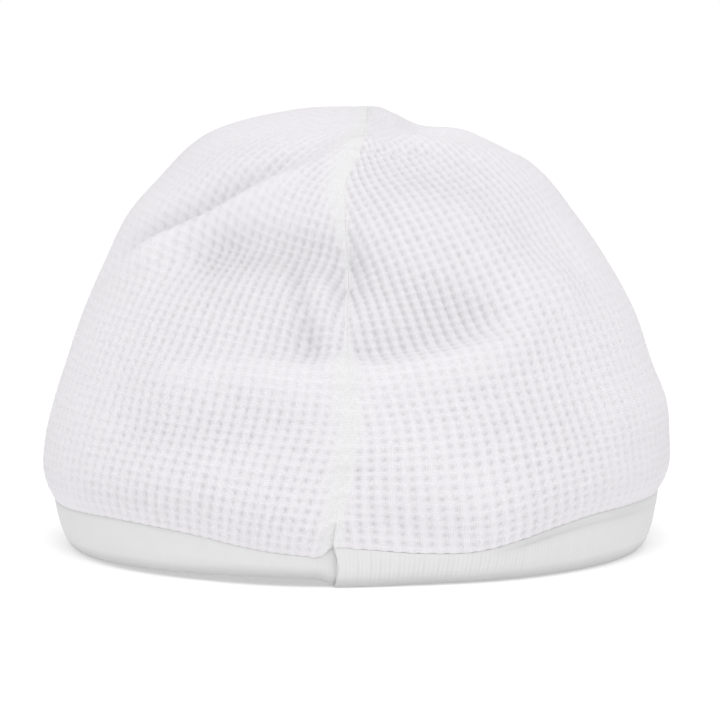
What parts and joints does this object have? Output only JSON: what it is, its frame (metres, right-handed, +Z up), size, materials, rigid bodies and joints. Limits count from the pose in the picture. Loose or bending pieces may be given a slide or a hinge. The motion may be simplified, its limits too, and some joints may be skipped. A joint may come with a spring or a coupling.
{
  "type": "skull cap",
  "caption": "Close-fitting knitted skull cap, with a domed waffle-knit crown sewn along a centre seam and a folded rib-knit band at the rim.",
  "frame": {"origin": "on the surface that the cap stands on, at the middle of its length and width", "axes": "+Z up through the top of the crown, +Y towards the forehead, -Y towards the nape where the band is lapped, +X towards the wearer's right"},
  "size_m": [0.1786, 0.1997, 0.124],
  "materials": {
    "waffle_knit": "matt white waffle (thermal) knit, raised ribs both ways round small pits",
    "rib_knit": "matt white fine rib knit, folded double"
  },
  "bodies": {
    "root": {"crown_left": "waffle_knit", "crown_right": "waffle_knit", "rim_band": "rib_knit"}
  },
  "joints": []
}
